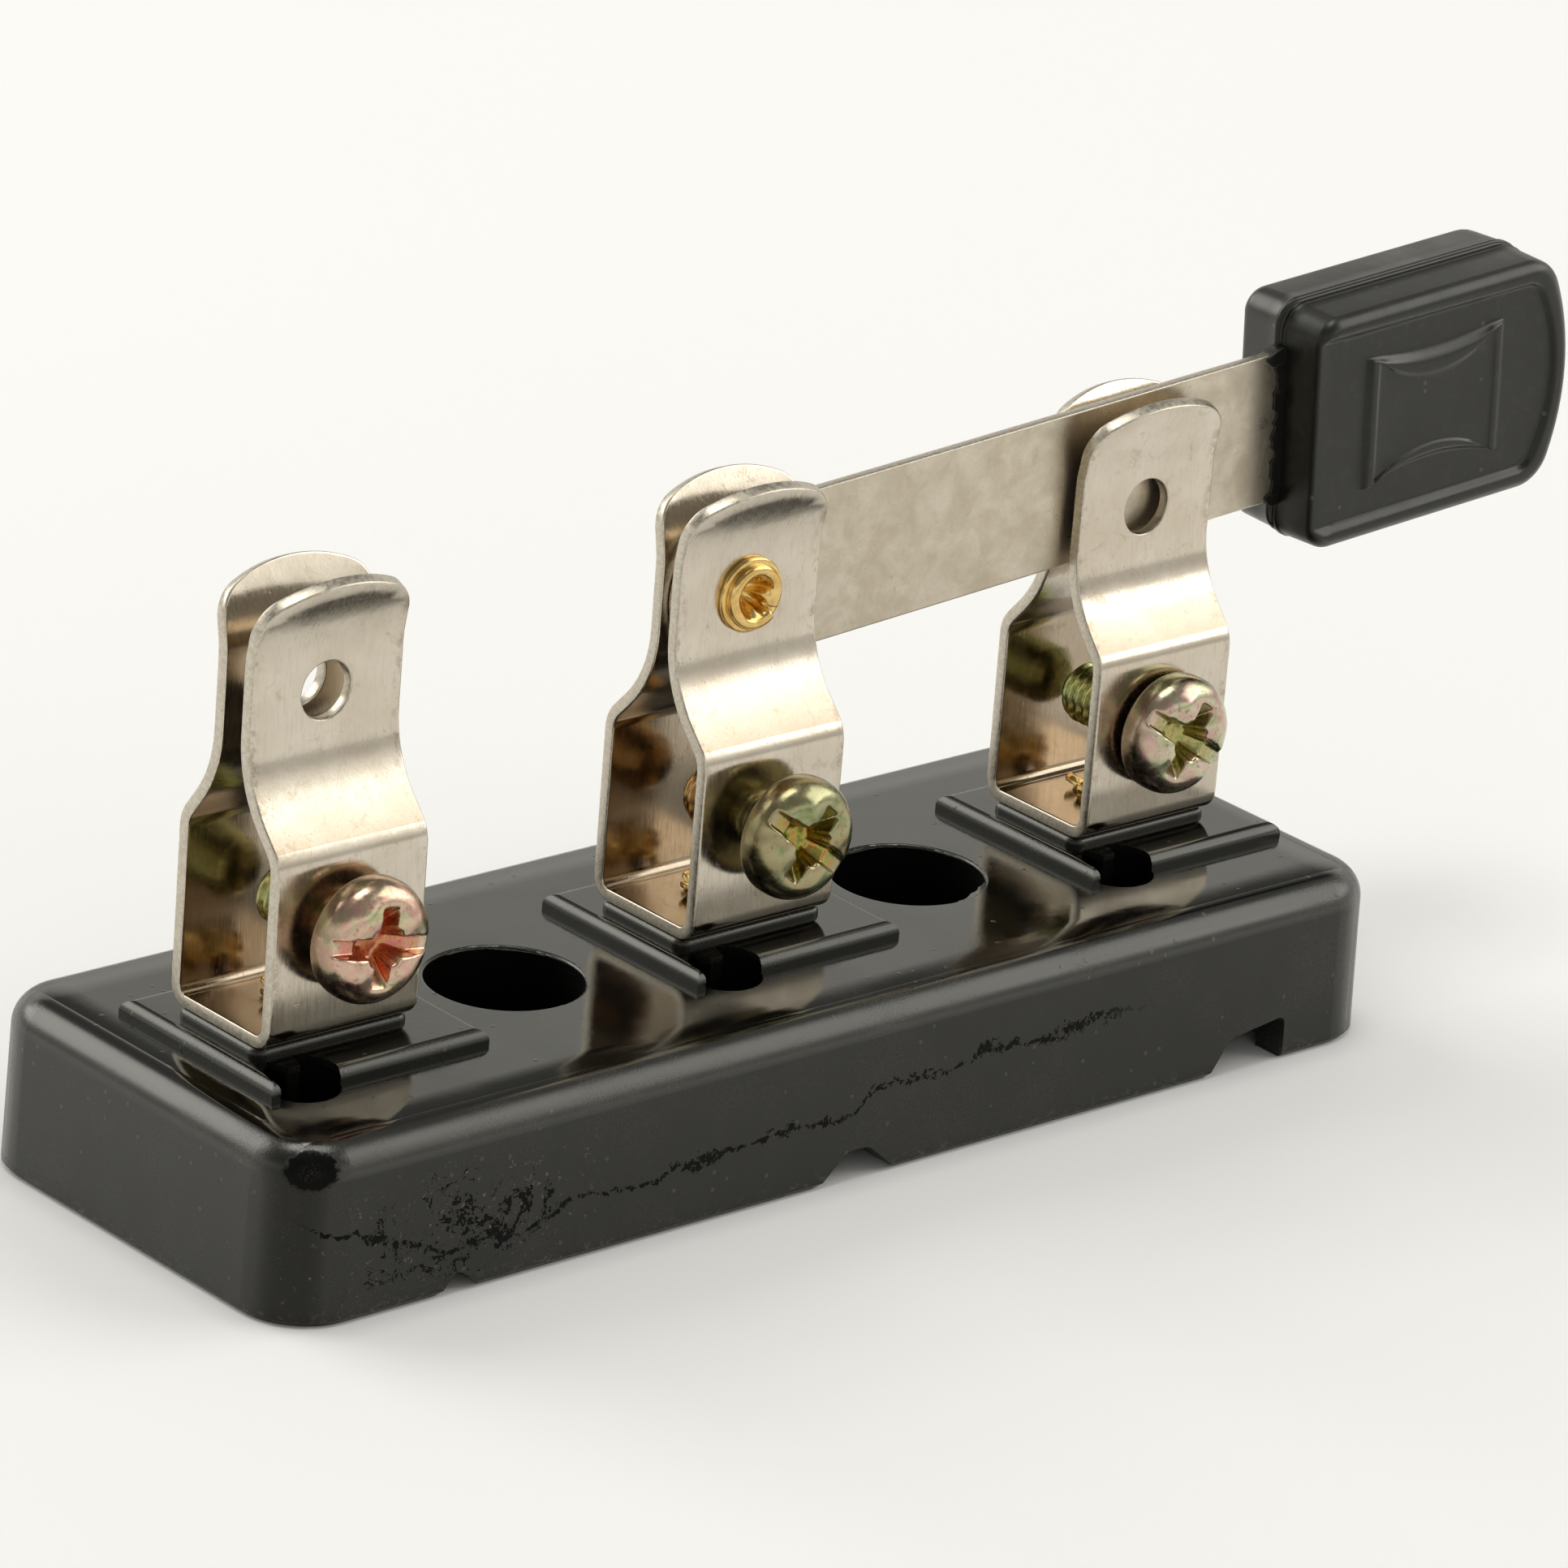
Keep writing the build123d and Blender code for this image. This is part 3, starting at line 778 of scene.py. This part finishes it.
def make_clip_rivet(side):
    """Hollow rivet: flat head under the base's top, and a tip torn into curled petals."""
    centre_x = CENTRE_X[side]
    floor = CLIP_FLOOR + STRIP
    low = 7.6
    outline = [
        (1.15, floor + 0.05), (1.15, low + 0.25), (1.3, low), (2.75, low), (2.93, low + 0.06), (3.0, low + 0.25),
        (3.0, low + 0.5), (2.93, low + 0.66), (2.75, low + 0.7), (1.72, low + 0.7), (1.65, low + 0.78),
        (1.65, floor + 0.05),
    ]
    rings = [lambda t, r=r, z=z: (centre_x + r * cos(t), r * sin(t), z) for r, z in outline + outline[:1]]
    parts = [polar_surface(rings, 40, False)]
    for k in range(6):
        heading = radians(60 * k + rng.uniform(-7, 7))
        ranges = (0.50, 0.58), (0.24, 0.32), (0.85, 1.05), (1.45, 1.75)
        wide, tip, curl, length = [rng.uniform(*limits) for limits in ranges]
        corners = [(-0.25, -0.72), (0.45, -wide), (length, -tip), (length, tip), (0.45, wide), (-0.25, 0.72)]
        loop = fillet_corners(corners, [0, 0, 0.2, 0.2, 0, 0], 30.0)
        grid = [(0.15 * i, v) for i in range(1, 12) for v in (-0.2, 0.0, 0.2)]

        def place(s, v, h, heading=heading, curl=curl):
            bend = min(max(s, 0.0) * curl, 1.75)
            radius = 0.62
            out = 1.4 + radius * (1 - cos(bend * 1.15)) + h * cos(bend)
            up = floor + 0.05 + min(s, 0.0) + radius * sin(bend * 1.15) - h * sin(bend) * 0.9
            turn = heading + v / 1.4
            return centre_x + out * cos(turn), out * sin(turn), up
        parts.append(plate([loop], grid, 0.3, 0.06, place, 0, 0))
    make_piece(f"clip_rivet_{side}_tube", join_parts(parts), ["brass"], "switch_base",
               f"clip_rivet_{side}", weld=True)


def make_pivot_rivet():
    """Hollow rivet: collar, rolled rim with a split, crimped inside, and a low head behind."""
    split = radians(-38)

    jaw = 1.2

    def ring(radius, out, rim=0.0, crimp=0.0):
        def point(t):
            gap = (t - split + pi) % (2 * pi) - pi
            notch = min(1.0, max(0.0, 1 - abs(gap) / 0.13) * 2.2) * rim
            spiral = 0.10 * rim * (((t - split) % (2 * pi)) / (2 * pi) - 0.5)
            r = radius + spiral - 0.28 * notch
            star = crimp * (0.5 + 0.5 * cos(5 * t + 0.9)) ** 1.5
            y = -(jaw + out + spiral - 0.42 * notch)
            r -= 0.46 * star
            return r * cos(t), y + 0.10 * star, PIVOT_Z + r * sin(t)
        return point

    front = [
        (2.33, 0.02), (2.36, 0.10), (2.36, 0.26), (2.30, 0.33), (2.18, 0.36), (2.02, 0.36), (1.98, 0.38, 0.2),
        (2.04, 0.50, 0.7), (2.05, 0.64, 1), (1.98, 0.78, 1), (1.84, 0.87, 1), (1.66, 0.90, 1), (1.48, 0.86, 1),
        (1.36, 0.76, 1, 0.1), (1.29, 0.58, 1, 0.35), (1.24, 0.38, 0.5, 0.7), (1.18, 0.15, 0, 1), (1.10, -0.15, 0, 1),
        (0.95, -0.50, 0, 1), (0.62, -0.80, 0, 0.8), (0.22, -0.95, 0, 0.4),
    ]
    rings = [ring(*values) for values in reversed(front)]
    back = [(1.73, -1.17), (1.72, -1.1), (1.72, 1.1), (1.73, 1.2), (2.4, 1.2), (2.52, 1.24), (2.6, 1.36), (2.6, 1.5),
            (2.53, 1.68), (2.38, 1.82), (2.1, 1.88), (1.2, 1.89)]
    rings += [lambda t, r=r, y=y: (r * cos(t), y, PIVOT_Z + r * sin(t)) for r, y in back]
    make_piece("pivot_rivet_body", polar_surface(rings, 96), ["brass"], "switch_base", "pivot_rivet",
               weld=True)


# ---- terminal screws

SCREW_LENGTH, HEAD_HEIGHT, HEAD_RADIUS = 8.0, 2.8, 3.85
SCREW_MAJOR, SCREW_MINOR, SCREW_PITCH = 1.95, 1.58, 0.7
SLOT_ANGLE = {"left": 8.0, "center": 38.0, "right": 33.0}


def screw_shank(seat_y):
    """Threaded shank, its rings square to the axis and its crests on a helix."""
    rows = int(SCREW_LENGTH / SCREW_PITCH * 14)

    def ring(y):
        def point(t):
            phase = (y / SCREW_PITCH - t / (2 * pi)) % 1.0
            tooth = unit((1 - abs(2 * phase - 1) - 0.08) / 0.80)
            depth = SCREW_LENGTH - y
            fade = unit((y - 0.15) / 0.5) * unit(depth / 0.5)
            r = min(SCREW_MINOR + tooth * fade * (SCREW_MAJOR - SCREW_MINOR), 1.3 + depth * 0.9)
            return r * cos(t), seat_y + y, r * sin(t)
        return point
    rings = [ring(-0.4 + (SCREW_LENGTH + 0.4) * k / rows) for k in range(rows + 1)]
    return polar_surface(rings, 56)


def blank_head():
    """Pan head turned about Y, in millimetres, face towards -Y with its seat at zero."""
    outline = [(0.0, -0.02), (3.3, -0.02), (3.62, 0.02), (3.78, 0.16), (3.83, 0.36)]
    outline += [(HEAD_RADIUS, 0.7), (HEAD_RADIUS, 1.0)]
    angles = [radians(6 * i) for i in range(1, 14)]
    outline += [(HEAD_RADIUS - 1.42 + 1.42 * cos(a), 1.06 + 1.42 * sin(a)) for a in angles]
    outline += [(1.7, 2.50), (0.9, 2.53), (0.0, 2.54)]
    rings = [lambda t, r=max(r, 0.001), h=h: (r * cos(t), -h, r * sin(t)) for r, h in outline]
    return polar_surface(rings, 72)


def recess_cutters(turn):
    """Slot and tapered cross cutters for a head, turned about Y."""
    def prism(bottom, top):
        count = len(bottom)
        c, s = cos(turn), sin(turn)
        verts = [(x * c + z * s, y, z * c - x * s) for x, y, z in bottom + top]
        faces = [tuple(range(count))[::-1], tuple(range(count, 2 * count))]
        faces += [(i, (i + 1) % count, count + (i + 1) % count, count + i) for i in range(count)]
        return verts, faces

    def bar(reach, half_width, y, angle=0):
        c, s = cos(radians(angle)), sin(radians(angle))
        corners = [(-reach, -half_width), (reach, -half_width), (reach, half_width), (-reach, half_width)]
        return [(x * c - z * s, y, x * s + z * c) for x, z in corners]

    def octagon(radius, y):
        return [(radius * cos(radians(k)), y, radius * sin(radians(k))) for k in range(0, 360, 45)]

    deep, low, face = 1.02 - HEAD_HEIGHT, 1.95 - HEAD_HEIGHT, -(HEAD_HEIGHT + 0.6)
    return [
        prism(bar(5, 0.48, deep), bar(5, 0.68, face)),
        *(prism(bar(1.05, 0.36, low, a), bar(3.1, 0.72, face + 0.35, a)) for a in (0, 90)),
        prism(octagon(0.85, low), octagon(1.75, face)),
    ]


def solid_object(name, verts, faces):
    """Helper solid in millimetres, its faces turned outwards."""
    mesh = bpy.data.meshes.new(name)
    mesh.from_pydata(verts, [], faces)
    return merged(linked(name, mesh), 1e-5)


def screw_head(turn, voxel):
    """Head with its slot and cross cut out, then softened as a struck and plated head is."""
    head = solid_object("head_blank", *blank_head()[:2])
    helpers = [solid_object("head_cutter", *solid) for solid in recess_cutters(turn)]
    for cutter in helpers:
        cut = head.modifiers.new("cut", "BOOLEAN")
        cut.operation, cut.object, cut.solver = "DIFFERENCE", cutter, "EXACT"
    remesh = head.modifiers.new("remesh", "REMESH")
    remesh.mode, remesh.voxel_size, remesh.use_smooth_shade = "VOXEL", voxel, True
    soften = head.modifiers.new("soften", "SMOOTH")
    soften.factor, soften.iterations = 0.5, 20
    bpy.context.view_layer.update()
    result = bpy.data.meshes.new_from_object(head.evaluated_get(bpy.context.evaluated_depsgraph_get()))
    verts = []
    for x, y, z in (v.co for v in result.vertices):
        along, side = abs(x * cos(turn) - z * sin(turn)), abs(x * sin(turn) + z * cos(turn))
        lobe = exp(-((along - 1.6) ** 2 + (side - 1.6) ** 2) / 0.75)
        verts.append((x, y - 0.25 * lobe * unit((-1.5 - y) / 0.6), z))
    faces = [tuple(p.vertices) for p in result.polygons]
    for helper in [head, *helpers]:
        bpy.data.objects.remove(helper)
    return verts, faces, [0] * len(faces)


def make_screw(side):
    node = f"terminal_screw_{side}"
    low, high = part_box(node)
    seat_y = high.y / MM - SCREW_LENGTH
    centre_x = (low.x + high.x) / 2 / MM
    head = screw_head(radians(SLOT_ANGLE[side]), 0.075)
    shank = screw_shank(seat_y)
    spin = rng.uniform(0, 2 * pi)
    spun = [(x * cos(spin) - z * sin(spin), y, x * sin(spin) + z * cos(spin)) for x, y, z in shank[0]]
    seated = [(x, y + seat_y, z) for x, y, z in head[0]]
    verts, faces, slots = join_parts([(seated, *head[1:]), (spun, *shank[1:])])
    verts = [(x + centre_x, y, z + SCREW_Z) for x, y, z in verts]
    obj = mesh_object(f"{node}_plated", verts, faces, [MATERIALS[f"zinc_{side}"]], slots)
    # Weights for the plating: the recess, which is coloured differently, and the head's outer edge, which gets
    # painted shade
    recess, rim = [], []
    for x, y, z in verts:
        r = hypot(x - centre_x, z - SCREW_Z)
        dome = seat_y - HEAD_HEIGHT + (0.0 if r < 2.4 else min(2.8, (r - 2.4) ** 2 * 0.75))
        recess.append(unit((y - dome - 0.3) / 0.9) if r < 3.0 and y < seat_y - 0.3 else 0.0)
        rim.append(unit((r - 3.35) / 0.45))
    for key, values in (("recess", recess), ("rim", rim)):
        obj.data.attributes.new(key, "FLOAT", "POINT").data.foreach_set("value", values)
    finish_piece(obj, f"screw_{side}", node)


# ---- blade and handle

def blade_place(s, v, h):
    """Blade coordinates, along and across the blade and out to its front, into the row frame."""
    c, t = cos(BLADE_TILT), sin(BLADE_TILT)
    return s * c - v * t, -h, PIVOT_Z + s * t + v * c


def make_blade():
    """Stamped blade with a round end, rounded edges and a narrower tang."""
    half, reach, tang_start, tang_half = 5.0, 63.5, 47.5, 3.5
    outline = arc(0, 0, half, 90, 270, 24)
    outline += [(s, -half) for s in range(6, 44, 6)]
    outline += fillet_corners(
        [(0, -half), (tang_start, -half), (tang_start, -tang_half), (reach, -tang_half), (reach, tang_half),
         (tang_start, tang_half), (tang_start, half), (0, half)], [0, 0.3, 0.3, 0.3, 0.3, 0.3, 0.3, 0])[1:-1]
    outline += [(s, half) for s in range(42, 0, -6)]
    holes = [circle(0.0, 1.78), circle(57.0, 1.6)]
    grid = [(s, v) for s in range(-3, 46, 3) for v in (-3.5, -1.2, 1.2, 3.5)]

    def place(s, v, h):
        bow = 0.02 * sin(s * 0.11) + 0.008 * sin(s * 0.45 + v * 0.3)
        return blade_place(s, v, h + bow * (unit((s - 6) / 8) * unit((46 - s) / 8)))

    make_piece("blade_strip", plate([outline, *holes], grid, 0.7, 0.09, place), ["blade", "edge"],
               "blade_arm", "blade")


def handle_loop(inset, steps=10):
    """Handle outline at an inset, always with the same number of points, anticlockwise."""
    start, end, high = 44.4 + inset, 66.9 - inset, 7.9 - inset
    small, large = max(1.8 - inset, 0.45), max(3.0 - inset, 0.9)
    points = arc(start + small, high - small, small, 90, 180, steps)
    points += arc(start + small, -high + small, small, 180, 270, steps)
    return points + [(end - s, v) for s, v in crowned_end(high, 1.9, large)]


def grip_loop(grow, steps=12):
    """Thumb grip outline: upright sides and two ends bowed inwards, grown by a distance."""
    middle, wide, high, sag = 54.7, 5.3 + grow, 4.2, 1.5
    tip = high + grow * 0.35
    points = []
    for sign in (-1, 1):
        bow = high - sag + grow * (1.8 if sign > 0 else 1.0)
        rise = tip - bow
        radius = (wide * wide + rise * rise) / (2 * rise)
        span = [wide * (2 * i / steps - 1) * 0.985 for i in range(steps + 1)]
        curve = [(middle + x, sign * (bow + radius - sqrt(radius ** 2 - x ** 2))) for x in span]
        points += curve if sign < 0 else curve[::-1]
        side = wide if sign < 0 else -wide
        points += [(middle + side, sign * (tip - 0.12) * f) for f in (1.0, 0.5, 0.0, -0.5, -1.0)]
    return points


def make_handle():
    """Two-sided moulding: stepped mould line, drafted walls, sunk panels and a raised thumb grip."""
    wall = [(0.0, 0.0), (0.0, 0.12), (0.0, 0.28), (0.02, 0.34), (0.06, 0.38), (0.08, 0.44), (0.10, 1.2), (0.16, 2.9)]
    edge = 0.85
    wall += [(0.16 + edge * (1 - cos(radians(a))), 2.9 + edge * sin(radians(a))) for a in range(10, 91, 10)]
    wall += [(1.28, 3.75), (1.38, 3.74), (1.46, 3.70), (1.54, 3.61), (1.62, 3.50), (1.70, 3.40), (1.80, 3.35),
             (1.95, 3.34)]
    grip = [(0.95, 3.34), (0.85, 3.34), (0.74, 3.37), (0.62, 3.45), (0.50, 3.58), (0.36, 3.72), (0.22, 3.81),
            (0.10, 3.84), (0.0, 3.82), (-0.10, 3.75), (-0.22, 3.67), (-0.36, 3.62), (-0.46, 3.61)]
    verts, faces = [], []

    def bridge(a, b, flip):
        for i in range(len(a)):
            j = (i + 1) % len(a)
            quad = (a[i], a[j], b[j], b[i])
            faces.append(quad[::-1] if flip else quad)

    def sweep(loop, profile, facing, shift):
        """Joined rings of one outline along a profile of (inset, height). Gives the first and the last ring."""
        rings = []
        for inset, height in profile:
            points = loop(inset)
            rings.append(range(len(verts), len(verts) + len(points)))
            for s, v in points:
                open_end = max((s - 46.4) / 0.8, (abs(v) - 6.2) / 0.5)
                verts.append(blade_place(s - shift, v + shift, facing * min(height, 3.34 + 0.41 * unit(open_end))))
            if rings[1:]:
                bridge(*rings[-2:], facing < 0)
        return rings[0], rings[-1]

    seams = []
    for facing, shift, lead in ((1, 0.0, [wall[0]]), (-1, 0.3, [(0.14, 0.0), (0.04, 0.03)])):
        seam, panel = sweep(handle_loop, lead + wall[1:], facing, shift)
        grip_start, grip_end = sweep(grip_loop, grip, facing, shift)
        seams.append(seam)
        for rings in ([panel, grip_start], [grip_end]):
            ids = [i for ring in rings for i in ring]
            loops = [[unplace(verts[i], shift) for i in ring] for ring in rings]
            for triangle in fill([Vector(p) for loop in loops for p in loop], loops):
                face = tuple(ids[i] for i in triangle)
                faces.append(face[::-1] if facing < 0 else face)
    bridge(seams[1], seams[0], False)
    make_piece("handle_moulding", (verts, faces, None), ["handle"], "blade_arm", "handle")


def unplace(point, shift):
    """Back from the row frame to flat blade coordinates, without the mould shift."""
    c, t = cos(BLADE_TILT), sin(BLADE_TILT)
    x, z = point[0], point[2] - PIVOT_Z
    return x * c + z * t + shift, z * c - x * t - shift


def handle_flash():
    """Ragged skin of plastic that crept along the blade where it enters the handle."""
    parts = []
    steps = 6
    for low, high, reach, span in ((4.1, 5.35, 1.5, 0.85), (-5.25, -4.3, 1.0, 0.7)):
        left = []
        for i in range(steps + 1):
            swell = sin(pi * (0.15 + span * i / steps))
            left.append((44.2 - reach * swell * rng.uniform(0.75, 1.0), low + (high - low) * i / steps))
        parts.append(plate([[(44.75, low), (44.75, high)] + left[::-1]], [], 1.0, 0.035, blade_place, 0, 0))
    creep = [sin(0.9 * i) * 0.12 + sin(2.3 * i + 1.0) * 0.10 + rng.uniform(-0.09, 0.09) for i in range(28)]
    strip = [(43.72 + reach, -4.6 + 0.33 * i) for i, reach in enumerate(creep)]
    parts.append(plate([[(44.75, -4.6), (44.75, 4.31)] + strip[::-1]], [], 1.05, 0.035, blade_place, 0, 0))
    make_piece("handle_flash", join_parts(parts), ["handle"], "blade_arm")


for terminal in CENTRE_X:
    make_clip(terminal)
    make_clip_rivet(terminal)
    make_screw(terminal)
make_pivot_rivet()
make_blade()
make_handle()
handle_flash()


# ---- studio

FLOOR_SIZE = 9.0
floor_shade = Shade("studio_floor")
floor_tone = floor_shade.noise(0.004)
floor_shade.set(Base_Color=floor_shade.mix(floor_tone, (0.90, 0.90, 0.90), (0.93, 0.93, 0.925)), Roughness=0.7)
places = [FLOOR_SIZE / MM * (i / 4 - 0.5) for i in range(5)]
verts = [(x, y, -0.02) for y in places for x in places]
faces = [(k, k + 1, k + 6, k + 5) for j in range(4) for k in range(5 * j, 5 * j + 4)]
mesh_object("studio_floor", verts, faces, [floor_shade.material])


def soft_light(name, location, width, height, power):
    """Warm area light aimed at the switch."""
    light = bpy.data.lights.new(name, "AREA")
    light.shape, light.size, light.size_y, light.energy = "RECTANGLE", width, height, power
    light.color = (1.0, 0.985, 0.945)
    obj = linked(name, light)
    obj.location = location
    obj.rotation_euler = (Vector((0, 0, 0.02)) - Vector(location)).to_track_quat("-Z", "Y").to_euler()


soft_light("light_front_right", (0.952, -0.506, 0.745), 0.95, 0.92, 5.8)
soft_light("light_back_left", (-0.421, 0.992, 0.727), 0.87, 0.84, 7.4)
soft_light("light_overhead", (0.0, 0.05, 1.30), 0.5, 0.5, 4.4)

world = bpy.data.worlds.new("studio")
bpy.context.scene.world = world
world.use_nodes = True
tree = world.node_tree
background = tree.nodes["Background"]
coordinate = tree.nodes.new("ShaderNodeTexCoord")
split = tree.nodes.new("ShaderNodeSeparateXYZ")
ramp = tree.nodes.new("ShaderNodeValToRGB")
tree.links.new(coordinate.outputs["Generated"], split.inputs[0])
tree.links.new(split.outputs[2], ramp.inputs[0])
glow = ((0.10, 0.55), (0.26, 0.97), (0.40, 0.93), (0.50, 0.26))
ramp.color_ramp.elements.new(0.3)
ramp.color_ramp.elements.new(0.4)
for element, (height, tone) in zip(ramp.color_ramp.elements, glow):
    element.position = height
    element.color = (tone, tone * 0.985, tone * 0.93, 1)
tree.links.new(ramp.outputs[0], background.inputs[0])
background.inputs[1].default_value = 1.08

azimuth, elevation, roll = radians(-42.32), radians(21.54), radians(4.67)
back = Vector((sin(azimuth) * cos(elevation), -cos(azimuth) * cos(elevation), sin(elevation)))
right = Vector((cos(azimuth), sin(azimuth), 0))
up = back.cross(right)
right, up = right * cos(roll) + up * sin(roll), up * cos(roll) - right * sin(roll)
camera_data = bpy.data.cameras.new("camera")
camera_data.sensor_width = 36.0
camera_data.lens = 205.1
camera_data.clip_start = 0.01
camera = linked("camera", camera_data)
turned = Matrix((right, up, back)).transposed().to_4x4()
camera.matrix_world = Matrix.Translation(back * 0.54599 + right * 0.005348 + up * 0.018664) @ turned
bpy.context.scene.camera = camera
bpy.context.scene.view_settings.view_transform = "Standard"
bpy.context.scene.view_settings.look = "None"
